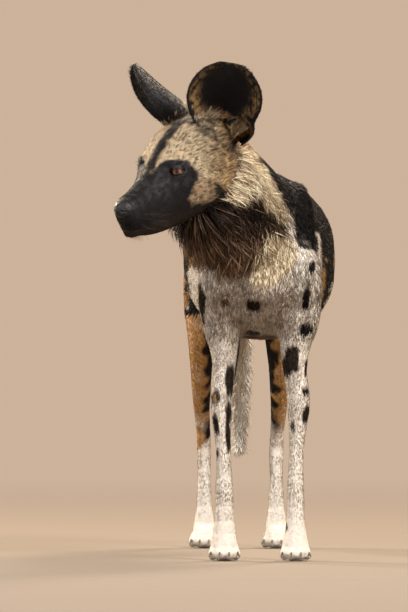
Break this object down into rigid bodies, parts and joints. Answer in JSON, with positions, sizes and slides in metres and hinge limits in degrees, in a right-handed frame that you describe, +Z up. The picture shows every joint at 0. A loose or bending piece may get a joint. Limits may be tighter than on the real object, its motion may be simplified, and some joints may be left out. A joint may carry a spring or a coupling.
{
  "type": "african wild dog",
  "caption": "Life-size standing African wild dog, head turned to its right, large cupped ears raised, shaggy throat, blotched short coat and hanging brush tail, on flat paws.",
  "frame": {"origin": "middle of the base of the bounding box, on the floor between the paws", "axes": "+Z up; the body faces -Y; +X is the dog's left side"},
  "size_m": [0.3712, 0.9414, 0.8209],
  "materials": {
    "coat": "short blotched fur in black, white, tawny and brown",
    "nose_leather": "moist black nose leather",
    "eye": "wet amber eye with a round pupil",
    "claw": "dark horn"
  },
  "bodies": {
    "root": {"torso": "coat", "neck": "coat", "head": "coat", "ear_left": "coat", "ear_right": "coat", "eye_left": "eye", "eye_right": "eye", "nose": "nose_leather", "tail": "coat", "leg_front_left": "coat", "leg_front_right": "coat", "leg_hind_left": "coat", "leg_hind_right": "coat", "claw_front_left_1": "claw", "claw_front_left_2": "claw", "claw_front_left_3": "claw", "claw_front_left_4": "claw", "claw_front_right_1": "claw", "claw_front_right_2": "claw", "claw_front_right_3": "claw", "claw_front_right_4": "claw", "claw_hind_left_1": "claw", "claw_hind_left_2": "claw", "claw_hind_left_3": "claw", "claw_hind_left_4": "claw", "claw_hind_right_1": "claw", "claw_hind_right_2": "claw", "claw_hind_right_3": "claw", "claw_hind_right_4": "claw"}
  },
  "joints": []
}
